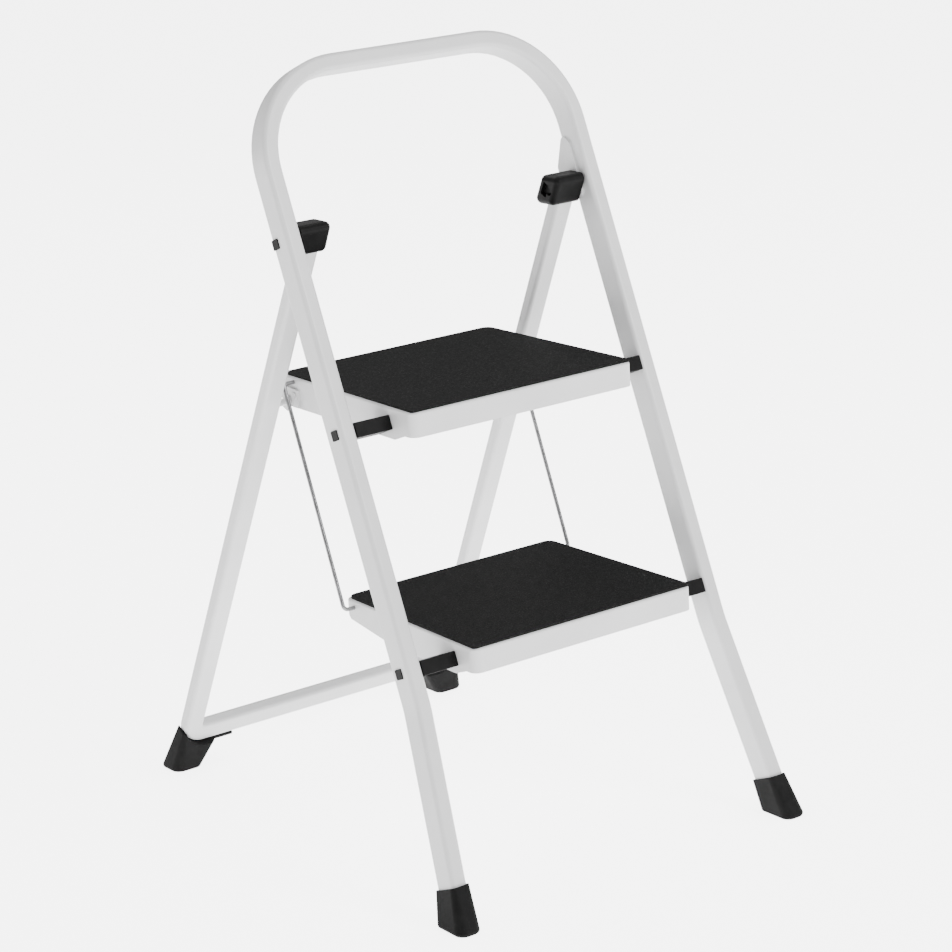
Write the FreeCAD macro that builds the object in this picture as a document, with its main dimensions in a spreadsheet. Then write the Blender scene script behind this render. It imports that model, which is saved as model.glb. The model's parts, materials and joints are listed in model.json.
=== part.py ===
import FreeCAD, Part
import math
import os

import Sketcher

# Folding two-step stool. Frame: X to the right, Y to the back, Z up, millimetres.
# The origin lies on the floor, at the middle of the stool's footprint.
# Two bent-tube frames form an inverted V. The front one is an upright U whose top is the
# hand rail, the back one is a U lying the other way up, with its bar near the floor.
#
# Three local frames are used. In "front" and "rear" the local x is the stool's X, y runs up
# along that frame's legs from the floor, and z is the outward normal of its front face, so
# the tube lies at negative z. In "step" frames the axes are the stool's own and the origin
# is the step's pivot.

doc = FreeCAD.newDocument("StepStool")
sheet = doc.addObject("Spreadsheet::Sheet", "Dimensions")

DIMENSIONS = [
    # whole stool
    ("front_lean", 21.2), ("rear_lean", 27.0), ("centre_shift", 10.0),
    ("front_floor_y", -280.6),
    # front frame: flat-sided tube, legs parallel above the kink and splayed below it
    ("front_half_width", 189.0), ("front_tube_width", 17.0), ("front_tube_depth", 29.0),
    ("front_corner", 4.5), ("front_wall", 1.5), ("front_length", 837.7),
    ("top_bend", 104.0), ("kink_height", 212.8), ("kink_bend", 160.0), ("splay", 5.25),
    ("front_tube_end", 12.0),
    # rear frame
    ("rear_half_width", 179.6), ("rear_tube_width", 22.0), ("rear_tube_depth", 14.8),
    ("rear_corner", 4.0), ("rear_wall", 1.3), ("rear_bar_height", 32.0),
    ("rear_bend", 25.0), ("rear_taper", 1.27), ("rear_top_above_hinge", 9.0),
    # axes, as height along the front leg and depth behind its front face
    ("hinge_height", 668.6), ("hinge_depth", 21.5),
    ("upper_height", 479.6), ("upper_depth", 11.0),
    ("lower_height", 248.4), ("lower_depth", 15.0),
    ("pin_radius", 4.0), ("pin_play", 0.06), ("pin_end", 187.4),
    # steps, measured from the pivot
    ("pan_front_half", 133.0), ("pan_rear_half", 128.0), ("pan_sheet", 1.5),
    ("pan_front_flange", 24.5), ("pan_side_flange", 31.0), ("pan_edge", 2.6),
    ("pan_front_corner", 9.0), ("pan_rear_corner", 6.0),
    ("upper_front", 46.5), ("upper_rear", 187.5), ("upper_top", 18.0),
    ("lower_front", 43.0), ("lower_rear", 180.0), ("lower_top", 20.4),
    ("lower_rear_flange", 19.0),
    ("mat_thick", 2.0), ("mat_inset", 1.6), ("mat_front_corner", 4.0),
    ("mat_rear_corner", 9.0),
    # black blocks between the legs and the steps, and the plugs outside the legs
    ("block_inner", 132.8), ("block_height", 14.6), ("block_edge", 1.0),
    ("plug_width", 10.5), ("plug_height", 10.0), ("plug_proud", 1.2), ("plug_edge", 1.5),
    ("pin_head_radius", 6.5), ("pin_head_inner", 127.2), ("pin_head_outer", 130.1),
    # hinge: ear plate on the front leg, housing round the top of the rear leg
    ("ear_thick", 2.5), ("ear_corner", 5.0),
    ("housing_inner", 134.2), ("housing_outer", 169.1), ("housing_below", 16.3),
    ("housing_above", 17.8), ("housing_front", 1.6), ("housing_rear", 11.0),
    ("housing_edge", 6.0), ("recess_width", 9.0), ("recess_height", 14.0),
    ("recess_floor", 138.4),
    # rods that carry the back of the lower step from the upper one
    ("rod_back", 165.0), ("rod_rise", 13.0), ("rod_radius", 2.0), ("rod_x", 140.4),
    ("rod_elbow", 5.0), ("rod_end", 123.4), ("rod_play", 0.08),
    ("clip_radius", 3.3), ("clip_inner", 124.8), ("clip_outer", 126.3),
    # hook plates on the upper step, and the studs on the rear legs that carry them
    ("stud_back", 172.4), ("stud_drop", 7.1), ("stud_radius", 3.5), ("stud_inner", 129.5),
    ("stud_outer", 151.0), ("collar_radius", 6.0), ("collar_inner", 131.9),
    ("collar_outer", 134.0), ("hook_inner", 128.75), ("hook_outer", 131.25),
    ("hook_slot", 7.9), ("hook_lean", 31.5), ("rivet_radius", 2.0), ("rivet_head", 3.8),
    # feet
    ("boot_wall", 2.0), ("boot_height", 45.0), ("front_sole_out", 4.5),
    ("front_sole_forward", 6.0), ("front_sole_back", 3.0), ("front_sole_in", 1.5),
    ("sole_edge", 3.0),
    ("rear_sole_inner", 157.0), ("rear_sole_outer", 191.0), ("rear_sole_front", 270.0),
    ("rear_sole_back", 309.0), ("rear_boot_tab", 116.0), ("rear_tab_thick", 3.0),
]


def fill_sheet():
    """Writes the dimensions as plain numbers, one row each, with an alias."""
    for row, (alias, value) in enumerate(DIMENSIONS, start=1):
        sheet.set(f"A{row}", alias)
        sheet.set(f"B{row}", str(value))
        sheet.setAlias(f"B{row}", alias)
    doc.recompute()


fill_sheet()


def dim(alias):
    """Value of a dimension, for positions that part.py itself works out."""
    return float(getattr(sheet, alias))


SIN_F = math.sin(math.radians(dim("front_lean")))
COS_F = math.cos(math.radians(dim("front_lean")))
SIN_R = math.sin(math.radians(dim("rear_lean")))
COS_R = math.cos(math.radians(dim("rear_lean")))
FRONT_Y = dim("front_floor_y") - dim("centre_shift")
RIGHT, LEFT = 1, -1
SIDES = (("left", LEFT), ("right", RIGHT))
LONG = 900.0


def on_front_leg(height, depth):
    """(y, z) of a point given along the front leg and behind its front face."""
    y = FRONT_Y + height * SIN_F + depth * COS_F
    return y, height * COS_F - depth * SIN_F


HINGE = on_front_leg(dim("hinge_height"), dim("hinge_depth"))
UPPER = on_front_leg(dim("upper_height"), dim("upper_depth"))
LOWER = on_front_leg(dim("lower_height"), dim("lower_depth"))
STEPS = {"upper": UPPER, "lower": LOWER}

# The rear leg's middle line passes through the hinge, which fixes where its front face
# meets the floor and how far up the leg the hinge is.
REAR_Y = HINGE[0] + HINGE[1] * SIN_R / COS_R - dim("rear_tube_depth") / 2 / COS_R
REAR_HINGE = (REAR_Y - HINGE[0]) * SIN_R + HINGE[1] * COS_R
ROD_VECTOR = (LOWER[0] - UPPER[0], LOWER[1] - UPPER[1])
ROD_LENGTH = math.hypot(*ROD_VECTOR)
STUD = (UPPER[0] + dim("stud_back"), UPPER[1] - dim("stud_drop"))

X_AXIS = FreeCAD.Vector(1, 0, 0)


def turned(angle, y, z):
    """Placement turned by angle about X, with its origin at (0, y, z)."""
    return FreeCAD.Placement(FreeCAD.Vector(0, y, z), FreeCAD.Rotation(X_AXIS, angle))


FRONT = turned(90 - dim("front_lean"), FRONT_Y, 0)
REAR = turned(90 + dim("rear_lean"), REAR_Y, 0)
ROD_TURN = math.degrees(math.atan2(ROD_VECTOR[1], ROD_VECTOR[0]))


def step_placement(step):
    return turned(0, *STEPS[step])


def in_rear(y, z):
    """Rear-frame coordinates (up the leg, outward normal) of a point (y, z)."""
    back = REAR_Y - y
    return back * SIN_R + z * COS_R, back * COS_R - z * SIN_R


# ---------------------------------------------------------------- building blocks

parts = []


def new_body(label, placement):
    body = doc.addObject("PartDesign::Body", label)
    body.Label = label
    body.Placement = placement
    parts.append(body)
    return body


def plane(body, role):
    return next(f for f in body.Origin.OriginFeatures if f.Role == role)


def new_sketch(body, role, offset=0.0, offset_rule=None):
    """Sketch on one of the body's origin planes, moved along the plane's normal."""
    sketch = body.newObject("Sketcher::SketchObject", "Sketch")
    sketch.AttachmentSupport = [(plane(body, role), "")]
    sketch.MapMode = "FlatFace"
    sketch.AttachmentOffset = FreeCAD.Placement(
        FreeCAD.Vector(0, 0, offset), FreeCAD.Rotation())
    if offset_rule:
        sketch.setExpression("AttachmentOffset.Base.z", offset_rule)
    return sketch


def polygon(sketch, points):
    """Closed outline of straight edges whose corners are joined."""
    first = sketch.GeometryCount
    count = len(points)
    for index, start in enumerate(points):
        end = points[(index + 1) % count]
        sketch.addGeometry(Part.LineSegment(
            FreeCAD.Vector(*start, 0), FreeCAD.Vector(*end, 0)))
    for index in range(count):
        after = first + (index + 1) % count
        sketch.addConstraint(Sketcher.Constraint("Coincident", first + index, 2, after, 1))


def bind(sketch, constraint, rule):
    """Adds a constraint and binds its value to an expression."""
    index = sketch.addConstraint(constraint)
    sketch.setExpression(f"Constraints[{index}]", rule)


def rectangle(sketch, centre, size_rules):
    """Rectangle about a fixed centre whose width and height follow the sheet."""
    width = doc_value(size_rules[0])
    height = doc_value(size_rules[1])
    first = sketch.GeometryCount
    left, low = centre[0] - width / 2, centre[1] - height / 2
    polygon(sketch, [(left, low), (left + width, low),
                     (left + width, low + height), (left, low + height)])
    for index, kind in ((0, "Horizontal"), (1, "Vertical"),
                        (2, "Horizontal"), (3, "Vertical")):
        sketch.addConstraint(Sketcher.Constraint(kind, first + index))
    middle = sketch.addGeometry(Part.Point(FreeCAD.Vector(*centre, 0)), True)
    sketch.addConstraint(Sketcher.Constraint(
        "Symmetric", first, 1, first + 2, 1, middle, 1))
    sketch.addConstraint(Sketcher.Constraint("DistanceX", -1, 1, middle, 1, centre[0]))
    sketch.addConstraint(Sketcher.Constraint("DistanceY", -1, 1, middle, 1, centre[1]))
    bind(sketch, Sketcher.Constraint("DistanceX", first, 1, first, 2, width),
         size_rules[0])
    bind(sketch, Sketcher.Constraint("DistanceY", first + 1, 1, first + 1, 2, height),
         size_rules[1])


def circle(sketch, centre, radius_rule):
    """Circle about a fixed centre whose radius follows the sheet."""
    radius = doc_value(radius_rule)
    index = sketch.addGeometry(Part.Circle(
        FreeCAD.Vector(*centre, 0), FreeCAD.Vector(0, 0, 1), radius))
    sketch.addConstraint(Sketcher.Constraint("DistanceX", -1, 1, index, 3, centre[0]))
    sketch.addConstraint(Sketcher.Constraint("DistanceY", -1, 1, index, 3, centre[1]))
    bind(sketch, Sketcher.Constraint("Radius", index, radius), radius_rule)


def doc_value(rule):
    """Number that an expression over the sheet gives."""
    value = sheet.evalExpression(rule.replace("Dimensions.", ""))
    return float(getattr(value, "Value", value))


def pad(body, sketch, length_rule, reverse=False):
    feature = body.newObject("PartDesign::Pad", "Pad")
    feature.Profile = sketch
    feature.setExpression("Length", length_rule)
    feature.Reversed = reverse
    doc.recompute()
    return feature


def pocket(body, sketch, length, reverse=False, both=False):
    """Cuts the profile and checks that something was really removed."""
    before = body.Shape.Volume
    feature = body.newObject("PartDesign::Pocket", "Pocket")
    feature.Profile = sketch
    if isinstance(length, str):
        feature.setExpression("Length", length)
    else:
        feature.Length = length
    feature.Midplane = both
    feature.Reversed = reverse
    doc.recompute()
    if body.Shape.Volume > before - 1e-3:
        raise RuntimeError(f"a pocket in {body.Label} removed nothing")
    return feature


def fillet(body, radius_rule, wanted):
    """Rounds every edge of the body that wanted(edge) picks."""
    base = body.Tip
    names = [f"Edge{i}" for i, edge in enumerate(base.Shape.Edges, start=1)
             if wanted(edge)]
    feature = body.newObject("PartDesign::Fillet", "Fillet")
    feature.Base = (base, names)
    feature.setExpression("Radius", radius_rule)
    doc.recompute()
    return feature


def along(edge, axis):
    """True for a straight edge parallel to the local axis 0, 1 or 2."""
    if edge.Curve.TypeId != "Part::GeomLine":
        return False
    return abs(abs(edge.Curve.Direction[axis]) - 1) < 1e-6


def side_sketch(body, side, x_rule):
    """Sketch in the local YZ plane, at the given distance from the middle."""
    x = doc_value(x_rule)
    return new_sketch(body, "YZ_Plane", side * x, f"{side} * ({x_rule})")


def side_pad(body, side, x_from, x_to, draw):
    """Profile in the local YZ plane, grown outwards from x_from to x_to on one side."""
    sketch = side_sketch(body, side, x_from)
    draw(sketch)
    return pad(body, sketch, f"({x_to}) - ({x_from})", reverse=side == LEFT)


def side_pocket(body, side, x_from, x_to, draw):
    sketch = side_sketch(body, side, x_from)
    draw(sketch)
    return pocket(body, sketch, f"({x_to}) - ({x_from})", reverse=side == RIGHT)


def through_x(body, draw):
    """Cuts a profile of the YZ plane right through the body, both ways."""
    sketch = new_sketch(body, "YZ_Plane")
    draw(sketch)
    return pocket(body, sketch, LONG, both=True)


# ---------------------------------------------------------------- frames

def tube_section(sketch, centre, width_rule, depth_rule, corner_rule):
    """Rounded rectangle: four sides and four tangent corner arcs about a centre."""
    half_w, half_d = doc_value(width_rule) / 2, doc_value(depth_rule) / 2
    radius = doc_value(corner_rule)
    across, deep = half_w - radius, half_d - radius
    cx, cy = centre
    sides = [((cx - across, cy - half_d), (cx + across, cy - half_d)),
             ((cx + half_w, cy - deep), (cx + half_w, cy + deep)),
             ((cx + across, cy + half_d), (cx - across, cy + half_d)),
             ((cx - half_w, cy + deep), (cx - half_w, cy - deep))]
    corners = [(cx + across, cy - deep), (cx + across, cy + deep),
               (cx - across, cy + deep), (cx - across, cy - deep)]
    for index, ((start, end), corner) in enumerate(zip(sides, corners)):
        sketch.addGeometry(Part.LineSegment(
            FreeCAD.Vector(*start, 0), FreeCAD.Vector(*end, 0)))
        arc = Part.Circle(FreeCAD.Vector(*corner, 0), FreeCAD.Vector(0, 0, 1), radius)
        turn = -math.pi / 2 + index * math.pi / 2
        sketch.addGeometry(Part.ArcOfCircle(arc, turn, turn + math.pi / 2))
    for index in range(4):
        line, arc, after = 2 * index, 2 * index + 1, (2 * index + 2) % 8
        sketch.addConstraint(Sketcher.Constraint("Tangent", line, 2, arc, 1))
        sketch.addConstraint(Sketcher.Constraint("Tangent", arc, 2, after, 1))
    for line, kind in ((0, "Horizontal"), (2, "Vertical"),
                       (4, "Horizontal"), (6, "Vertical")):
        sketch.addConstraint(Sketcher.Constraint(kind, line))
    for arc in (3, 5):
        sketch.addConstraint(Sketcher.Constraint("Equal", 1, arc))
    bind(sketch, Sketcher.Constraint("Radius", 1, radius), corner_rule)
    bind(sketch, Sketcher.Constraint("DistanceX", 6, 1, 2, 1, 2 * half_w), width_rule)
    bind(sketch, Sketcher.Constraint("DistanceY", 0, 1, 4, 1, 2 * half_d), depth_rule)
    middle = sketch.addGeometry(Part.Point(FreeCAD.Vector(cx, cy, 0)), True)
    sketch.addConstraint(Sketcher.Constraint("Symmetric", 6, 2, 2, 2, middle, 1))
    sketch.addConstraint(Sketcher.Constraint("DistanceX", -1, 1, middle, 1, cx))
    sketch.addConstraint(Sketcher.Constraint("DistanceY", -1, 1, middle, 1, cy))


def path_sketch(body, pieces):
    """Open chain of lines and arcs in the local XY plane."""
    sketch = new_sketch(body, "XY_Plane")
    for piece in pieces:
        sketch.addGeometry(piece)
    for index in range(len(pieces) - 1):
        join_nearest_ends(sketch, index, index + 1)
    return sketch


def join_nearest_ends(sketch, first, second):
    """Makes the two ends that touch coincident, whichever way an arc is stored."""
    pairs = [(a, b) for a in (1, 2) for b in (1, 2)]
    nearest = min(pairs, key=lambda pair: sketch.getPoint(first, pair[0]).distanceToPoint(
        sketch.getPoint(second, pair[1])))
    sketch.addConstraint(Sketcher.Constraint(
        "Coincident", first, nearest[0], second, nearest[1]))


def rounded_path(points, radii):
    """Lines through the points with a tangent arc of the given radius at each corner."""
    pieces = []
    start = FreeCAD.Vector(*points[0], 0)
    for index, radius in enumerate(radii, start=1):
        corner = FreeCAD.Vector(*points[index], 0)
        following = FreeCAD.Vector(*points[index + 1], 0)
        towards = (corner - FreeCAD.Vector(*points[index - 1], 0)).normalize()
        away = (following - corner).normalize()
        turn = towards.getAngle(away)
        reach = radius * math.tan(turn / 2)
        enter, leave = corner - towards * reach, corner + away * reach
        bisector = (away - towards).normalize()
        middle = corner + bisector * (radius / math.cos(turn / 2) - radius)
        pieces.append(Part.LineSegment(start, enter))
        pieces.append(Part.Arc(enter, middle, leave))
        start = leave
    pieces.append(Part.LineSegment(start, FreeCAD.Vector(*points[-1], 0)))
    return pieces


def bent_tube(body, pieces, centre, names):
    """Half of a hollow bent tube from the middle plane outwards, then its mirror image."""
    width, depth, corner, wall = (f"Dimensions.{name}" for name in names)
    path = path_sketch(body, pieces)
    outer = new_sketch(body, "YZ_Plane")
    tube_section(outer, centre, width, depth, corner)
    path_edges = [f"Edge{i + 1}" for i in range(len(pieces))]
    solid = body.newObject("PartDesign::AdditivePipe", "Tube")
    solid.Profile = outer
    solid.Spine = (path, path_edges)
    doc.recompute()
    inner = new_sketch(body, "YZ_Plane")
    tube_section(inner, centre, f"{width} - 2 * {wall}", f"{depth} - 2 * {wall}",
                 f"{corner} - {wall}")
    hollow = body.newObject("PartDesign::SubtractivePipe", "Bore")
    hollow.Profile = inner
    hollow.Spine = (path, path_edges)
    doc.recompute()
    mirror = body.newObject("PartDesign::Mirrored", "OtherHalf")
    mirror.Originals = [solid, hollow]
    mirror.MirrorPlane = (plane(body, "YZ_Plane"), [""])
    body.Tip = mirror
    doc.recompute()


def front_frame():
    """Inverted U: hand rail, large bends, parallel legs that splay near the floor."""
    body = new_body("front_frame", FRONT)
    half = dim("front_half_width") - dim("front_tube_width") / 2
    top = dim("front_length") - dim("front_tube_width") / 2
    kink, end = dim("kink_height"), dim("front_tube_end")
    foot = half + (kink - end) * math.tan(math.radians(dim("splay")))
    bend = dim("top_bend") - dim("front_tube_width") / 2
    pieces = rounded_path([(0, top), (half, top), (half, kink), (foot, end)],
                          [bend, dim("kink_bend")])
    bent_tube(body, pieces, (top, -dim("front_tube_depth") / 2),
              ("front_tube_width", "front_tube_depth", "front_corner", "front_wall"))
    for axis in ("hinge", "upper", "lower"):
        centre = (dim(f"{axis}_height"), -dim(f"{axis}_depth"))
        through_x(body, lambda sketch, c=centre: circle(
            sketch, c, "Dimensions.pin_radius"))


def rear_leg_outer(height):
    """Distance of the rear leg's outer face from the middle, at a height along it."""
    return dim("rear_half_width") - height * math.tan(math.radians(dim("rear_taper")))


def rear_frame():
    """U with its bar near the floor; the legs close in slightly towards the hinge."""
    body = new_body("rear_frame", REAR)
    half_tube = dim("rear_tube_width") / 2
    low = dim("rear_bar_height") + half_tube
    top = REAR_HINGE + dim("rear_top_above_hinge")
    pieces = rounded_path(
        [(0, low), (rear_leg_outer(low) - half_tube, low),
         (rear_leg_outer(top) - half_tube, top)],
        [dim("rear_bend") - half_tube])
    bent_tube(body, pieces, (low, -dim("rear_tube_depth") / 2),
              ("rear_tube_width", "rear_tube_depth", "rear_corner", "rear_wall"))
    through_x(body, lambda sketch: circle(
        sketch, (REAR_HINGE, -dim("rear_tube_depth") / 2),
        "Dimensions.pin_radius + Dimensions.pin_play"))
    centre = in_rear(*STUD)
    for _, side in SIDES:
        side_pocket(body, side, "Dimensions.collar_outer", "Dimensions.stud_outer + 4",
                    lambda sketch: circle(sketch, centre, "Dimensions.stud_radius"))


# ---------------------------------------------------------------- pins, plugs and blocks

def pin(label, side, centre, inner_rule):
    """Round pin through a front leg."""
    body = new_body(label, FRONT)
    side_pad(body, side, inner_rule, "Dimensions.pin_end",
             lambda sketch: circle(sketch, centre, "Dimensions.pin_radius"))
    return body


def headed_pin(label, side, centre):
    """Pin with a flat head inside the step's flange."""
    body = pin(label, side, centre, "Dimensions.pin_head_inner")
    side_pad(body, side, "Dimensions.pin_head_inner", "Dimensions.pin_head_outer",
             lambda sketch: circle(sketch, centre, "Dimensions.pin_head_radius"))


def plug(label, side, centre):
    """Snap-in cap over a pin's outer end: flat rounded head and a round stem."""
    body = new_body(label, FRONT)
    side_pad(body, side, "Dimensions.front_half_width",
             "Dimensions.front_half_width + Dimensions.plug_proud",
             lambda sketch: rectangle(
                 sketch, centre, ("Dimensions.plug_height", "Dimensions.plug_width")))
    fillet(body, "Dimensions.plug_edge", lambda edge: along(edge, 0))
    side_pad(body, side, "Dimensions.pin_end", "Dimensions.front_half_width",
             lambda sketch: circle(sketch, centre, "Dimensions.pin_radius"))


def block(label, side, centre_height, pin_centre):
    """Spacer block between a leg and a step, as deep as the leg, bored for the pin."""
    body = new_body(label, FRONT)
    middle = (centre_height, -dim("front_tube_depth") / 2)
    leg_inner = "Dimensions.front_half_width - Dimensions.front_tube_width"
    side_pad(body, side, "Dimensions.block_inner", leg_inner,
             lambda sketch: rectangle(
                 sketch, middle,
                 ("Dimensions.block_height", "Dimensions.front_tube_depth")))
    fillet(body, "Dimensions.block_edge", lambda edge: along(edge, 0))
    side_pocket(body, side, "Dimensions.block_inner", leg_inner,
                lambda sketch: circle(sketch, pin_centre, "Dimensions.pin_radius"))


def pivots():
    for name, side in SIDES:
        for step in ("upper", "lower"):
            height, depth = dim(f"{step}_height"), dim(f"{step}_depth")
            centre = (height, -depth)
            block(f"{step}_block_{name}", side, height, centre)
            headed_pin(f"{step}_pivot_pin_{name}", side, centre)
            plug(f"{step}_pivot_plug_{name}", side, centre)


# ---------------------------------------------------------------- hinge

def hinge_ear(label, side):
    """Flat steel ear on the front leg's inner face that backs the hinge."""
    body = new_body(label, FRONT)
    height, depth = dim("hinge_height"), dim("hinge_depth")
    leg_inner = "Dimensions.front_half_width - Dimensions.front_tube_width"
    outline = [(height - 10, -14), (height + 44, -14), (height + 56, -22),
               (height + 26, -43), (height + 6, -43), (height - 10, -34)]
    side_pad(body, side, f"{leg_inner} - Dimensions.ear_thick", leg_inner,
             lambda sketch: polygon(sketch, outline))
    fillet(body, "Dimensions.ear_corner", lambda edge: along(edge, 0))
    side_pocket(body, side, f"{leg_inner} - Dimensions.ear_thick", leg_inner,
                lambda sketch: circle(
                    sketch, (height, -depth), "Dimensions.pin_radius"))


def hinge_housing(label, side):
    """Moulded cap, level above and below, round the rear leg's top end."""
    body = new_body(label, REAR)
    low = REAR_HINGE - dim("housing_below")
    high = REAR_HINGE + dim("housing_above")
    front, rear = dim("housing_front"), -dim("rear_tube_depth") - dim("housing_rear")
    slope, middle = SIN_R / COS_R, -dim("rear_tube_depth") / 2
    fore, aft = slope * (front - middle), slope * (rear - middle)
    outline = [(low + fore, front), (high + fore, front),
               (high + aft, rear), (low + aft, rear)]
    side_pad(body, side, "Dimensions.housing_inner", "Dimensions.housing_outer",
             lambda sketch: polygon(sketch, outline))
    inner = side * dim("housing_inner")
    fillet(body, "Dimensions.housing_edge",
           lambda edge: abs(edge.CenterOfMass.x - inner) < 0.1 or along(edge, 0))
    cut_rear_leg(body, side)
    axis = (REAR_HINGE, -dim("rear_tube_depth") / 2)
    well = (axis[0] - 1.5, axis[1] - 6.5)
    side_pocket(body, side, "Dimensions.housing_inner", "Dimensions.recess_floor",
                lambda sketch: rectangle(
                    sketch, well,
                    ("Dimensions.recess_height", "Dimensions.recess_width")))
    side_pocket(body, side, "Dimensions.housing_inner", "Dimensions.housing_outer",
                lambda sketch: circle(
                    sketch, axis, "Dimensions.pin_radius + Dimensions.pin_play"))


def cut_rear_leg(body, side):
    """Opens the socket for the rear leg, which enters from below at its taper."""
    low, top = REAR_HINGE - 40, REAR_HINGE + dim("rear_top_above_hinge") + 0.3
    width = dim("rear_tube_width")
    outline = [(side * rear_leg_outer(low), low), (side * rear_leg_outer(top), top),
               (side * (rear_leg_outer(top) - width), top),
               (side * (rear_leg_outer(low) - width), low)]
    sketch = new_sketch(body, "XY_Plane")
    polygon(sketch, outline)
    pocket(body, sketch, "Dimensions.rear_tube_depth")


def hinges():
    front_axis = (dim("hinge_height"), -dim("hinge_depth"))
    for name, side in SIDES:
        hinge_ear(f"hinge_ear_{name}", side)
        hinge_housing(f"hinge_housing_{name}", side)
        pin(f"hinge_pin_{name}", side, front_axis, "Dimensions.recess_floor")
        plug(f"hinge_plug_{name}", side, front_axis)


# ---------------------------------------------------------------- steps

def half_width_at(step, back):
    """Half the pan's width at a distance behind the pivot; the pan narrows backwards."""
    front, rear = dim(f"{step}_front"), dim(f"{step}_rear")
    share = (back + front) / (front + rear)
    return dim("pan_front_half") * (1 - share) + dim("pan_rear_half") * share


def pan_outline(step, inset):
    front = -dim(f"{step}_front") + inset
    rear = dim(f"{step}_rear") - inset
    wide, narrow = dim("pan_front_half") - inset, dim("pan_rear_half") - inset
    return [(-wide, front), (wide, front), (narrow, rear), (-narrow, rear)]


def flange_trim(step):
    """Side view of what is cut from below: shallow nosing, and a tapered back end."""
    front, rear, top = (dim(f"{step}_{end}") for end in ("front", "rear", "top"))
    low = top - dim("pan_side_flange")
    nosing = top - dim("pan_front_flange")
    shallow = [(-front - 5, low - 5), (-front - 5, nosing), (-front + 14, nosing),
               (-front + 32, low), (-front + 32, low - 5)]
    if step == "upper":
        return [shallow]
    raised = top - dim("lower_rear_flange")
    tail = [(rear - 84, low - 5), (rear - 84, low), (rear - 8, raised - 2),
            (rear - 2, raised + 3), (rear + 5, raised + 9), (rear + 5, low - 5)]
    return [shallow, tail]


def step_pan(step):
    """Pressed sheet tray, upside down, with a flange all round."""
    body = new_body(f"{step}_step_pan", step_placement(step))
    top_rule = f"Dimensions.{step}_top"
    outer = new_sketch(body, "XY_Plane", dim(f"{step}_top"), top_rule)
    polygon(outer, pan_outline(step, 0))
    pad(body, outer, "Dimensions.pan_side_flange", reverse=True)
    fillet(body, "Dimensions.pan_front_corner",
           lambda edge: along(edge, 2) and edge.CenterOfMass.y < 0)
    fillet(body, "Dimensions.pan_rear_corner",
           lambda edge: along(edge, 2) and edge.CenterOfMass.y > 50)
    top = dim(f"{step}_top")
    fillet(body, "Dimensions.pan_edge",
           lambda edge: edge.BoundBox.ZMin > top - 0.01)
    hollow_pan(body, step)
    for outline in flange_trim(step):
        through_x(body, lambda sketch, points=outline: polygon(sketch, points))
    through_x(body, lambda sketch: circle(
        sketch, (0, 0), "Dimensions.pin_radius + Dimensions.pin_play"))
    rod_hole = (dim("rod_back"), dim("rod_rise"))
    through_x(body, lambda sketch: circle(
        sketch, rod_hole, "Dimensions.rod_radius + Dimensions.rod_play"))
    if step == "upper":
        through_x(body, lambda sketch: [
            circle(sketch, place, "Dimensions.rivet_radius") for place in RIVETS])


def hollow_pan(body, step):
    """Removes the inside, leaving the sheet's thickness at the top and round the sides."""
    sheet_thick = dim("pan_sheet")
    low = dim(f"{step}_top") - dim("pan_side_flange")
    inner = new_sketch(body, "XY_Plane", low,
                       f"Dimensions.{step}_top - Dimensions.pan_side_flange")
    front, rear = dim("pan_front_corner"), dim("pan_rear_corner")
    corners = pan_outline(step, sheet_thick)
    pieces = closed_rounded(corners, [front - sheet_thick] * 2 + [rear - sheet_thick] * 2)
    for piece in pieces:
        inner.addGeometry(piece)
    pocket(body, inner, "Dimensions.pan_side_flange - Dimensions.pan_sheet", reverse=True)


def closed_rounded(corners, radii):
    """Closed outline with a tangent arc at each corner."""
    middle = tuple((a + b) / 2 for a, b in zip(corners[0], corners[-1]))
    return rounded_path([middle, *corners, middle], radii)


def step_mat(step):
    """Ribbed rubber mat glued on the pan: round at the front, cut off at the back."""
    body = new_body(f"{step}_step_mat", step_placement(step))
    sketch = new_sketch(body, "XY_Plane", dim(f"{step}_top"), f"Dimensions.{step}_top")
    front, rear = dim("mat_front_corner"), dim("mat_rear_corner")
    corners = pan_outline(step, dim("mat_inset"))
    for piece in closed_rounded(corners, [front, front, rear, rear]):
        sketch.addGeometry(piece)
    pad(body, sketch, "Dimensions.mat_thick")


# ---------------------------------------------------------------- step hooks and studs

RIVETS = [(dim("stud_back") - 11, -0.5), (dim("stud_back") + 7, 4.5)]


def hook_plate(label, side):
    """Plate on the upper pan's flange whose slanted slot drops over the leg's stud."""
    body = new_body(label, step_placement("upper"))
    back, drop = dim("stud_back"), dim("stud_drop")
    outline = [(back - 17, -12), (back - 17, 6), (back + 12, 8), (back + 12, -15),
               (back + 4, -18), (back - 2, -17), (back - 8, -12)]
    side_pad(body, side, "Dimensions.hook_inner", "Dimensions.hook_outer",
             lambda sketch: polygon(sketch, outline))
    width = dim("hook_slot")
    lean = math.radians(dim("hook_lean"))
    down = (-math.sin(lean), -math.cos(lean))
    across = (math.cos(lean), -math.sin(lean))

    def corner(a, b):
        return (back + down[0] * a + across[0] * b, -drop + down[1] * a + across[1] * b)

    slot = [corner(0, -width / 2), corner(0, width / 2),
            corner(20, width / 2), corner(20, -width / 2)]
    rules = ("Dimensions.hook_inner", "Dimensions.hook_outer")
    side_pocket(body, side, *rules, lambda sketch: polygon(sketch, slot))
    side_pocket(body, side, *rules, lambda sketch: circle(
        sketch, (back, -drop), "Dimensions.hook_slot / 2"))
    side_pocket(body, side, *rules, lambda sketch: [
        circle(sketch, place, "Dimensions.rivet_radius") for place in RIVETS])


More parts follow.
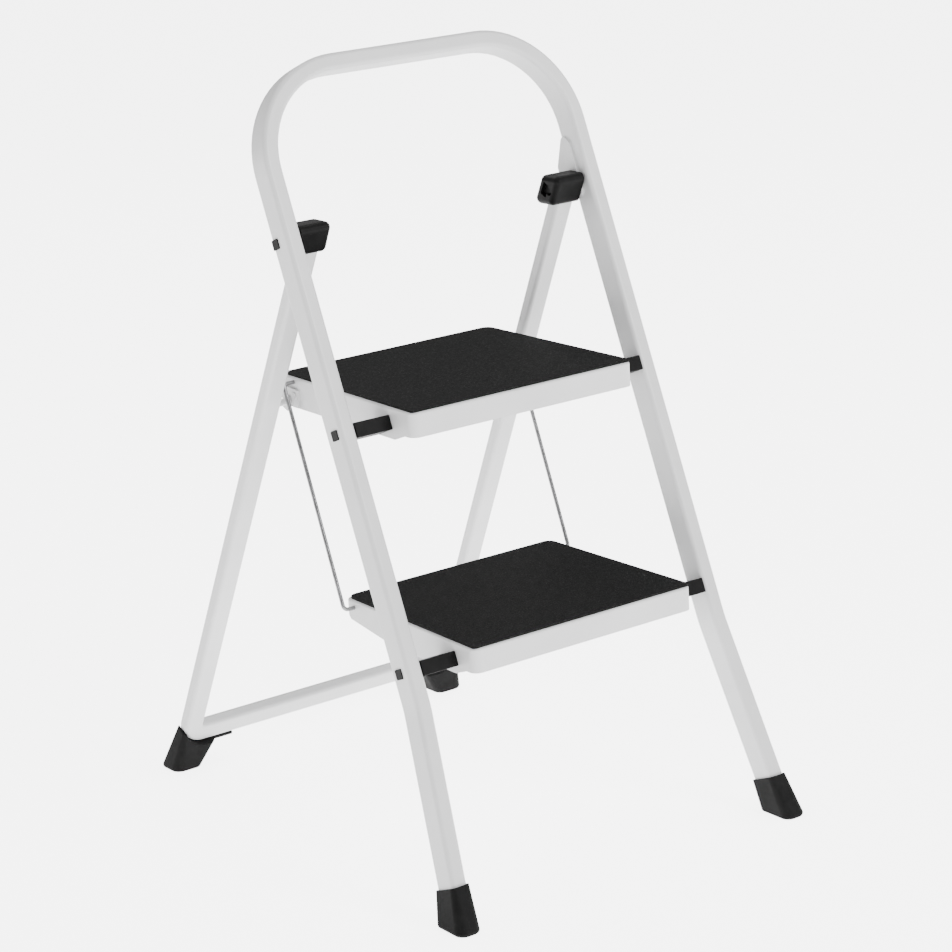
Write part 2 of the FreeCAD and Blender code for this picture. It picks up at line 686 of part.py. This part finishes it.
def hook_rivets(label, side):
    """Two rivets per plate, each a shank with a domed head either side of the sheets."""
    placement = step_placement("upper")
    outer_face = dim("hook_outer")
    solids = []
    for back, up in RIVETS:
        inner_face = half_width_at("upper", back) - dim("pan_sheet")
        start = FreeCAD.Vector(side * (inner_face - 0.9), back, up)
        shank = outer_face - inner_face + 1.8
        axis = FreeCAD.Vector(side, 0, 0)
        rivet = Part.makeCylinder(dim("rivet_radius"), shank, start, axis)
        head_in = Part.makeCylinder(dim("rivet_head"), 0.7, start, axis)
        outside = FreeCAD.Vector(side * (outer_face + 0.1), back, up)
        head_out = Part.makeCylinder(dim("rivet_head"), 0.9, outside, axis)
        solids.append(rivet.fuse([head_in, head_out]).removeSplitter())
    feature = doc.addObject("Part::Feature", label)
    feature.Label = label
    feature.Shape = Part.makeCompound(solids)
    feature.Placement = placement
    parts.append(feature)


def rest_stud(label, side):
    """Shouldered stud riveted through the rear leg's inner wall."""
    body = new_body(label, REAR)
    centre = in_rear(*STUD)
    side_pad(body, side, "Dimensions.stud_inner", "Dimensions.stud_outer",
             lambda sketch: circle(sketch, centre, "Dimensions.stud_radius"))
    side_pad(body, side, "Dimensions.collar_inner", "Dimensions.collar_outer",
             lambda sketch: circle(sketch, centre, "Dimensions.collar_radius"))


def rests():
    for name, side in SIDES:
        hook_plate(f"hook_plate_{name}", side)
        hook_rivets(f"hook_rivets_{name}", side)
        rest_stud(f"rest_stud_{name}", side)


# ---------------------------------------------------------------- rods

def rod_placement():
    """Local x is the stool's X and local y runs down the rod from its upper end."""
    start_y = UPPER[0] + dim("rod_back")
    start_z = UPPER[1] + dim("rod_rise")
    return turned(ROD_TURN, start_y, start_z)


def link_rod(label, side):
    """Steel rod with both ends turned inwards through the pans' side flanges."""
    body = new_body(label, rod_placement())
    out, end = side * dim("rod_x"), side * dim("rod_end")
    elbow = dim("rod_elbow")
    pieces = rounded_path([(end, 0), (out, 0), (out, ROD_LENGTH), (end, ROD_LENGTH)],
                          [elbow, elbow])
    path = path_sketch(body, pieces)
    profile = side_sketch(body, side, "Dimensions.rod_end")
    circle(profile, (0, 0), "Dimensions.rod_radius")
    rod = body.newObject("PartDesign::AdditivePipe", "Rod")
    rod.Profile = profile
    rod.Spine = (path, [f"Edge{i + 1}" for i in range(len(pieces))])
    doc.recompute()


def rod_clips(label, side):
    """Push-on washers that keep the rod's two ends in the flanges."""
    solids = []
    for along_rod in (0, ROD_LENGTH):
        start = FreeCAD.Vector(side * dim("clip_inner"), along_rod, 0)
        axis = FreeCAD.Vector(side, 0, 0)
        thick = dim("clip_outer") - dim("clip_inner")
        disc = Part.makeCylinder(dim("clip_radius"), thick, start, axis)
        bore = Part.makeCylinder(dim("rod_radius"), thick, start, axis)
        solids.append(disc.cut(bore))
    feature = doc.addObject("Part::Feature", label)
    feature.Label = label
    feature.Shape = Part.makeCompound(solids)
    feature.Placement = rod_placement()
    parts.append(feature)


def rods():
    for name, side in SIDES:
        link_rod(f"link_rod_{name}", side)
        rod_clips(f"rod_clips_{name}", side)


# ---------------------------------------------------------------- feet

def ring(corners, radii):
    """Closed wire with rounded corners through points of one plane."""
    edges = []
    count = len(corners)
    places = [FreeCAD.Vector(*corner) for corner in corners]
    starts, ends = [], []
    for index in range(count):
        here, before, after = (places[index], places[index - 1],
                               places[(index + 1) % count])
        towards, away = (here - before).normalize(), (after - here).normalize()
        turn = towards.getAngle(away)
        reach = radii[index] * math.tan(turn / 2)
        enter, leave = here - towards * reach, here + away * reach
        middle = here + (away - towards).normalize() * radii[index] * (
            1 / math.cos(turn / 2) - 1)
        edges.append(Part.Arc(enter, middle, leave).toShape())
        starts.append(enter)
        ends.append(leave)
    sides = [Part.LineSegment(ends[i], starts[(i + 1) % count]).toShape()
             for i in range(count)]
    mixed = [edge for pair in zip(edges, sides) for edge in pair]
    return Part.Wire(mixed)


def front_leg_x(height, share):
    """X of the splayed leg: share 0 is its inner face, 1 its outer face."""
    splay = (dim("kink_height") - height) * math.tan(math.radians(dim("splay")))
    return dim("front_half_width") + splay - dim("front_tube_width") * (1 - share)


def front_foot(label, side):
    """Rubber boot: snug at its rim, flared outwards and forwards to a flat sole."""
    wall, rim = dim("boot_wall"), dim("boot_height")
    depth = dim("front_tube_depth")

    def rim_corner(share, t):
        x = front_leg_x(rim, share) + (wall if share else -wall)
        return (side * x, *on_front_leg(rim, t))

    upper = [rim_corner(1, -wall), rim_corner(0, -wall),
             rim_corner(0, depth + wall), rim_corner(1, depth + wall)]
    inner = front_leg_x(0, 0) - wall - dim("front_sole_in")
    outer = front_leg_x(0, 1) + wall + dim("front_sole_out")
    front = FRONT_Y - wall - dim("front_sole_forward")
    back = FRONT_Y + depth / COS_F + wall + dim("front_sole_back")
    sole = [(side * outer, front, 0), (side * inner, front, 0),
            (side * inner, back, 0), (side * outer, back, 0)]
    boot = Part.makeLoft([ring(sole, [11, 11, 6, 8]), ring(upper, [5] * 4)], True, True)
    boot = boot.makeFillet(dim("sole_edge"), [
        edge for edge in boot.Edges if edge.BoundBox.ZMax < 0.01])
    keep_foot(label, boot.cut(front_leg_core(side)))


def rear_foot(label, side):
    """Rubber block under a rounded corner of the rear frame, with a tab along the bar."""
    inner, outer = dim("rear_sole_inner"), dim("rear_sole_outer")
    front = dim("rear_sole_front") - dim("centre_shift")
    back = dim("rear_sole_back") - dim("centre_shift")
    sole = [(side * outer, front, 0), (side * inner, front, 0),
            (side * inner, back, 0), (side * outer, back, 0)]
    height, wide = dim("rear_bar_height") + 17, dim("rear_half_width") + 0.6
    lip, depth = 1.0, dim("rear_tube_depth")

    def rim_corner(x, t):
        y = REAR_Y - height * SIN_R + t * COS_R
        return (side * x, y, height * COS_R + t * SIN_R)

    upper = [rim_corner(wide, -lip), rim_corner(inner - 28, -lip),
             rim_corner(inner - 28, depth + lip), rim_corner(wide, depth + lip)]
    boot = Part.makeLoft([ring(sole, [12, 10, 6, 12]), ring(upper, [4] * 4)], True, True)
    boot = boot.makeFillet(dim("sole_edge"), [
        edge for edge in boot.Edges if edge.BoundBox.ZMax < 0.01])
    boot = boot.fuse(rear_tab(side)).cut(above_rear_bar())
    keep_foot(label, boot)


def rear_tab(side):
    """Thin tongue of the boot that lies along the underside of the bar."""
    thick, depth = dim("rear_tab_thick"), dim("rear_tube_depth")
    reach = dim("rear_sole_inner") - dim("rear_boot_tab")
    left = dim("rear_boot_tab") if side == RIGHT else -dim("rear_sole_inner")
    tab = Part.makeBox(reach, thick, depth, FreeCAD.Vector(
        left, dim("rear_bar_height") - thick, -depth))
    tab.Placement = REAR
    return tab


def above_rear_bar():
    """Everything inside the rear frame's outer contour, to be kept clear of the boot."""
    low, bend, top = dim("rear_bar_height"), dim("rear_bend"), 200.0
    corners = [(rear_leg_outer(low), low), (rear_leg_outer(top), top),
               (-rear_leg_outer(top), top), (-rear_leg_outer(low), low)]
    wire = ring([(x, y, 40) for x, y in corners], [bend, 1, 1, bend])
    solid = Part.Face(wire).extrude(FreeCAD.Vector(0, 0, -120))
    solid.Placement = REAR
    return solid


def keep_foot(label, boot):
    """Adds a finished boot to the stool."""
    feature = doc.addObject("Part::Feature", label)
    feature.Label = label
    feature.Shape = boot.removeSplitter()
    parts.append(feature)


def front_leg_core(side):
    """Solid of the front leg's outer size, from its cut end upwards."""
    low, high = dim("front_tube_end"), dim("boot_height") + 20

    def section(height):
        inner, outer = front_leg_x(height, 0), front_leg_x(height, 1)
        rise = dim("front_tube_width") / 2 * math.sin(math.radians(dim("splay")))
        corners = [(side * outer, height + rise, 0), (side * inner, height - rise, 0),
                   (side * inner, height - rise, -dim("front_tube_depth")),
                   (side * outer, height + rise, -dim("front_tube_depth"))]
        return ring(corners, [dim("front_corner")] * 4)

    core = Part.makeLoft([section(low), section(high)], True, True)
    core.Placement = FRONT
    return core


def feet():
    for name, side in SIDES:
        front_foot(f"front_foot_{name}", side)
        rear_foot(f"rear_foot_{name}", side)


# ---------------------------------------------------------------- the stool

front_frame()
rear_frame()
pivots()
hinges()
for step_name in ("upper", "lower"):
    step_pan(step_name)
    step_mat(step_name)
rests()
rods()
feet()
doc.recompute()


def check_and_export():
    """Stops on any failed object, then writes one STEP file per sub-part."""
    for item in doc.Objects:
        if "Invalid" in item.State or "Error" in item.State:
            raise RuntimeError(f"{item.Name} did not compute: {item.State}")
    for item in parts:
        if item.Shape.isNull() or not item.Shape.isValid():
            raise RuntimeError(f"{item.Label} has no valid shape")
    os.makedirs("parts", exist_ok=True)
    box = FreeCAD.BoundBox()
    for item in parts:
        item.Shape.exportStep(f"parts/{item.Label}.step")
        box.add(item.Shape.BoundBox)
        print(f"{item.Label}: {item.Shape.Volume:.0f} mm3, {len(item.Shape.Solids)}")
    print("box", box)


check_and_export()
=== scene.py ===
import json
import math

import bpy
from mathutils import Matrix, Vector


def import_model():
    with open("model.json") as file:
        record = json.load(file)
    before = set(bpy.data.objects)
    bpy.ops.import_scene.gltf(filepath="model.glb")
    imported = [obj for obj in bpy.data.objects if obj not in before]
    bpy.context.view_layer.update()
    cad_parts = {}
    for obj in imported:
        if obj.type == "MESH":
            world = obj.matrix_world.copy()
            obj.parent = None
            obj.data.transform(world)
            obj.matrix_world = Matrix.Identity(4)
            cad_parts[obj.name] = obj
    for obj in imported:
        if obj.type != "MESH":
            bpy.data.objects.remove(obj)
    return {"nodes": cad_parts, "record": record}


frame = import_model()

# Looks of the folding step stool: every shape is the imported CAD, given finer materials.

CAMERA_AT = (-1.6236, -2.3708, 1.1486)
CAMERA_YAW, CAMERA_PITCH, CAMERA_ROLL = (math.radians(a) for a in (35.12, -15.71, -3.61))
SENSOR_MM, LENS_MM = 36, 111.8
LIGHTS_AIM = (0, 0, 0.35)
# name, position in metres, disk diameter in metres, power in watts
LIGHTS = [
    ("key", (1.0, -3.6, 2.4), 1.4, 85),
    ("top", (0.2, 0.6, 3.6), 3.0, 45),
    ("fill", (3.0, -1.6, 2.2), 2.4, 20),
    ("back", (0.6, 3.0, 2.8), 2.0, 20),
]
FLOOR_SIZE = 40
# strength that the camera sees, strength that lights the part
FLOOR_GLOW = (5.2, 2.3)
SKY_GLOW = (6.0, 0.5)


def write_bounds():
    """Updates the view layer after loading and before the end."""
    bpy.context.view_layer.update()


write_bounds()


# ---------------------------------------------------------------- materials

def graph(name):
    """New node material with its shader; returns it with its nodes and links."""
    material = bpy.data.materials.new(name)
    material.use_nodes = True
    nodes, links = material.node_tree.nodes, material.node_tree.links
    return material, nodes, links, nodes["Principled BSDF"]


def object_coordinates(nodes):
    """Coordinates in the piece's own metres, so that grain has a real size."""
    return nodes.new("ShaderNodeTexCoord").outputs["Object"]


def noise(nodes, links, scale, detail=4.0, roughness=0.55):
    """Noise factor in object coordinates."""
    texture = nodes.new("ShaderNodeTexNoise")
    texture.inputs["Scale"].default_value = scale
    texture.inputs["Detail"].default_value = detail
    texture.inputs["Roughness"].default_value = roughness
    links.new(object_coordinates(nodes), texture.inputs["Vector"])
    return texture.outputs["Fac"]


def ramp(nodes, links, source, stops):
    """Colour ramp over a factor; stops are (position, colour) pairs."""
    node = nodes.new("ShaderNodeValToRGB")
    elements = node.color_ramp.elements
    elements[0].position, elements[0].color = stops[0][0], (*stops[0][1], 1)
    elements[1].position, elements[1].color = stops[-1][0], (*stops[-1][1], 1)
    for position, colour in stops[1:-1]:
        elements.new(position).color = (*colour, 1)
    links.new(source, node.inputs["Fac"])
    return node.outputs["Color"]


def span(nodes, links, source, low, high):
    """Maps a 0..1 factor to low..high."""
    node = nodes.new("ShaderNodeMapRange")
    node.inputs["To Min"].default_value = low
    node.inputs["To Max"].default_value = high
    links.new(source, node.inputs["Value"])
    return node.outputs["Result"]


def bump(nodes, links, source, distance, strength, under=None):
    """Normal from a height factor; under is a coarser or finer bump below it."""
    node = nodes.new("ShaderNodeBump")
    node.inputs["Distance"].default_value = distance
    node.inputs["Strength"].default_value = strength
    links.new(source, node.inputs["Height"])
    if under:
        links.new(under, node.inputs["Normal"])
    return node.outputs["Normal"]


def grey(value, tint=0.0):
    """Neutral colour; tint is added to the blue."""
    return (value, value, value + tint)


def white_paint():
    """Smooth powder coat: a faint orange peel under a soft gloss, slightly uneven."""
    material, nodes, links, shader = graph("white_paint")
    blotch = noise(nodes, links, 14, 3)
    links.new(ramp(nodes, links, blotch, [(0.3, grey(0.72, 0.004)), (0.7, grey(0.78, 0.002))]),
              shader.inputs["Base Color"])
    links.new(span(nodes, links, noise(nodes, links, 60), 0.30, 0.42),
              shader.inputs["Roughness"])
    shader.inputs["Coat Weight"].default_value = 0.25
    shader.inputs["Coat Roughness"].default_value = 0.18
    peel = bump(nodes, links, noise(nodes, links, 900, 2), 0.00012, 0.25)
    wave = bump(nodes, links, noise(nodes, links, 35, 2), 0.0004, 0.12, peel)
    links.new(wave, shader.inputs["Normal"])
    return material


def mat_rubber():
    """Near-black tread rubber with a pebbled grain and pale specks of dust."""
    material, nodes, links, shader = graph("mat_rubber")
    specks = noise(nodes, links, 800, 2, 0.7)
    tone = ramp(nodes, links, specks, [
        (0.0, grey(0.004)), (0.52, grey(0.006)), (0.62, grey(0.022)), (0.72, grey(0.045))])
    links.new(tone, shader.inputs["Base Color"])
    links.new(span(nodes, links, noise(nodes, links, 400), 0.62, 0.85),
              shader.inputs["Roughness"])
    shader.inputs["Specular IOR Level"].default_value = 0.08
    cells = nodes.new("ShaderNodeTexVoronoi")
    cells.inputs["Scale"].default_value = 520
    links.new(object_coordinates(nodes), cells.inputs["Vector"])
    pebble = bump(nodes, links, cells.outputs["Distance"], 0.0003, 0.5)
    links.new(bump(nodes, links, specks, 0.0002, 0.3, pebble), shader.inputs["Normal"])
    return material


def dark_moulding(name, tone, roughness, grain):
    """Black moulded part: fine spark-eroded texture, roughness that varies a little."""
    material, nodes, links, shader = graph(name)
    blotch = noise(nodes, links, 70)
    links.new(ramp(nodes, links, blotch, [(0.3, grey(tone)), (0.75, grey(tone * 1.7))]),
              shader.inputs["Base Color"])
    shader.inputs["Specular IOR Level"].default_value = 0.1
    links.new(span(nodes, links, noise(nodes, links, 240), roughness - 0.07, roughness + 0.1),
              shader.inputs["Roughness"])
    links.new(bump(nodes, links, noise(nodes, links, grain, 3), 0.0002, 0.35),
              shader.inputs["Normal"])
    return material


def bright_steel():
    """Zinc-plated round steel: metallic, with drawn streaks and dull patches."""
    material, nodes, links, shader = graph("bright_steel")
    shader.inputs["Metallic"].default_value = 1.0
    stretch = nodes.new("ShaderNodeMapping")
    stretch.inputs["Scale"].default_value = (1, 1, 0.04)
    links.new(object_coordinates(nodes), stretch.inputs["Vector"])
    streaks = nodes.new("ShaderNodeTexNoise")
    streaks.inputs["Scale"].default_value = 1500
    links.new(stretch.outputs["Vector"], streaks.inputs["Vector"])
    dull = noise(nodes, links, 90)
    links.new(ramp(nodes, links, dull, [(0.3, grey(0.20)), (0.7, grey(0.34, 0.01))]),
              shader.inputs["Base Color"])
    links.new(span(nodes, links, streaks.outputs["Fac"], 0.22, 0.42),
              shader.inputs["Roughness"])
    links.new(bump(nodes, links, streaks.outputs["Fac"], 0.00005, 0.3),
              shader.inputs["Normal"])
    return material


MATERIALS = {
    "white_paint": white_paint(),
    "mat_rubber": mat_rubber(),
    "foot_rubber": dark_moulding("foot_rubber", 0.006, 0.6, 800),
    "black_plastic": dark_moulding("black_plastic", 0.005, 0.42, 1400),
    "black_steel": dark_moulding("black_steel", 0.005, 0.35, 1800),
    "bright_steel": bright_steel(),
}
SLOTS = {row["node"]: row["material_slot"] for row in frame["record"]["subparts"]}
for node_name, piece in frame["nodes"].items():
    for slot in piece.material_slots:
        slot.material = MATERIALS[SLOTS[node_name]]


# ---------------------------------------------------------------- studio

def brighter_to_camera(nodes, links, seen, cast):
    """A strength that the camera sees as seen, while the part is lit by cast."""
    camera_ray = nodes.new("ShaderNodeLightPath").outputs["Is Camera Ray"]
    return span(nodes, links, camera_ray, cast, seen)


def floor():
    """White ground under the feet, glowing so that it reads as a seamless backdrop."""
    bpy.ops.mesh.primitive_plane_add(size=FLOOR_SIZE, location=(0, 0, 0))
    plane = bpy.context.object
    plane.name = "studio_floor"
    material, nodes, links, shader = graph("studio_floor")
    links.new(ramp(nodes, links, noise(nodes, links, 0.7),
                   [(0.3, grey(0.93)), (0.7, grey(0.95))]), shader.inputs["Base Color"])
    shader.inputs["Roughness"].default_value = 0.9
    shader.inputs["Specular IOR Level"].default_value = 0.1
    shader.inputs["Emission Color"].default_value = (1, 1, 1, 1)
    links.new(brighter_to_camera(nodes, links, *FLOOR_GLOW),
              shader.inputs["Emission Strength"])
    plane.data.materials.append(material)


def area_light(name, position, size, power):
    """Soft disk lamp turned towards the middle of the stool."""
    light = bpy.data.lights.new(name, "AREA")
    light.shape, light.size, light.energy = "DISK", size, power
    lamp = bpy.data.objects.new(name, light)
    bpy.context.collection.objects.link(lamp)
    lamp.location = position
    aim = Vector(LIGHTS_AIM) - Vector(position)
    lamp.rotation_euler = aim.to_track_quat("-Z", "Y").to_euler()


def world():
    """Plain white sky behind the floor's far edge."""
    sky = bpy.data.worlds.new("studio")
    bpy.context.scene.world = sky
    sky.use_nodes = True
    nodes, links = sky.node_tree.nodes, sky.node_tree.links
    background = nodes["Background"]
    background.inputs["Color"].default_value = (1, 1, 1, 1)
    links.new(brighter_to_camera(nodes, links, *SKY_GLOW), background.inputs["Strength"])


def camera():
    """Long lens at the left front, a little above the rail."""
    lens = bpy.data.cameras.new("camera")
    lens.sensor_width, lens.lens = SENSOR_MM, LENS_MM
    eye = bpy.data.objects.new("camera", lens)
    bpy.context.collection.objects.link(eye)
    yaw, pitch, roll = CAMERA_YAW, CAMERA_PITCH, CAMERA_ROLL
    ahead = Vector((math.sin(yaw) * math.cos(pitch), math.cos(yaw) * math.cos(pitch),
                    math.sin(pitch)))
    right = Vector((math.cos(yaw), -math.sin(yaw), 0))
    up = right.cross(ahead)
    across = math.cos(roll) * right + math.sin(roll) * up
    over = -math.sin(roll) * right + math.cos(roll) * up
    turn = Matrix((across, over, -ahead)).transposed().to_4x4()
    eye.matrix_world = Matrix.Translation(CAMERA_AT) @ turn
    bpy.context.scene.camera = eye


floor()
for light_row in LIGHTS:
    area_light(*light_row)
world()
camera()
write_bounds()
